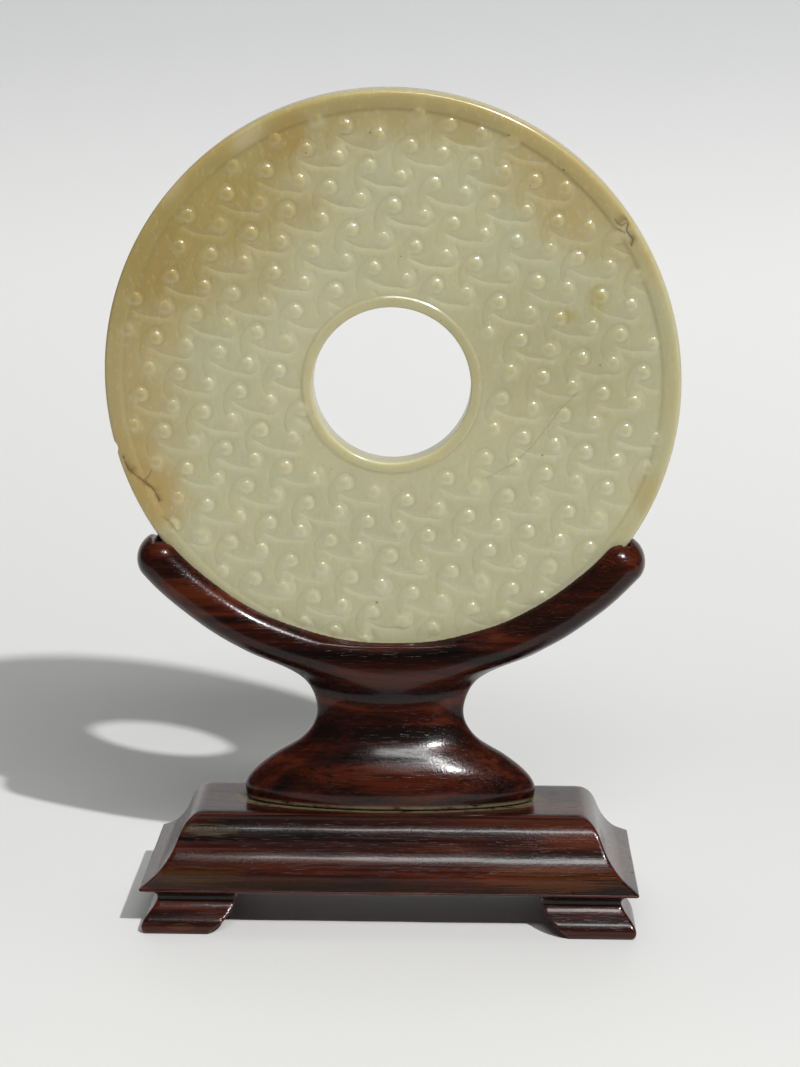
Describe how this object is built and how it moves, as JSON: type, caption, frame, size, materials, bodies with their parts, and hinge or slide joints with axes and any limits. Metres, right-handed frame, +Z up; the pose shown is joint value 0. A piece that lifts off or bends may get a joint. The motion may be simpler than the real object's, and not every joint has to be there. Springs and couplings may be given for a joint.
{
  "type": "jade bi disc on stand",
  "caption": "Carved jade ring disc standing upright in a U-shaped hardwood cradle on a moulded rectangular plinth with bracket feet; a display ornament.",
  "frame": {"origin": "centre of the plinth's footprint at floor level", "axes": "+Z up, front of the disc toward -Y, +X toward the right seen from the front"},
  "size_m": [0.1196, 0.0458, 0.1752],
  "materials": {
    "jade": "pale celadon stone with ochre skin, waxy polish",
    "rosewood": "dark red-brown hardwood, oiled and rubbed to a soft gloss"
  },
  "bodies": {
    "root": {"bi_disc": "jade", "cradle": "rosewood", "plinth": "rosewood"}
  },
  "joints": []
}
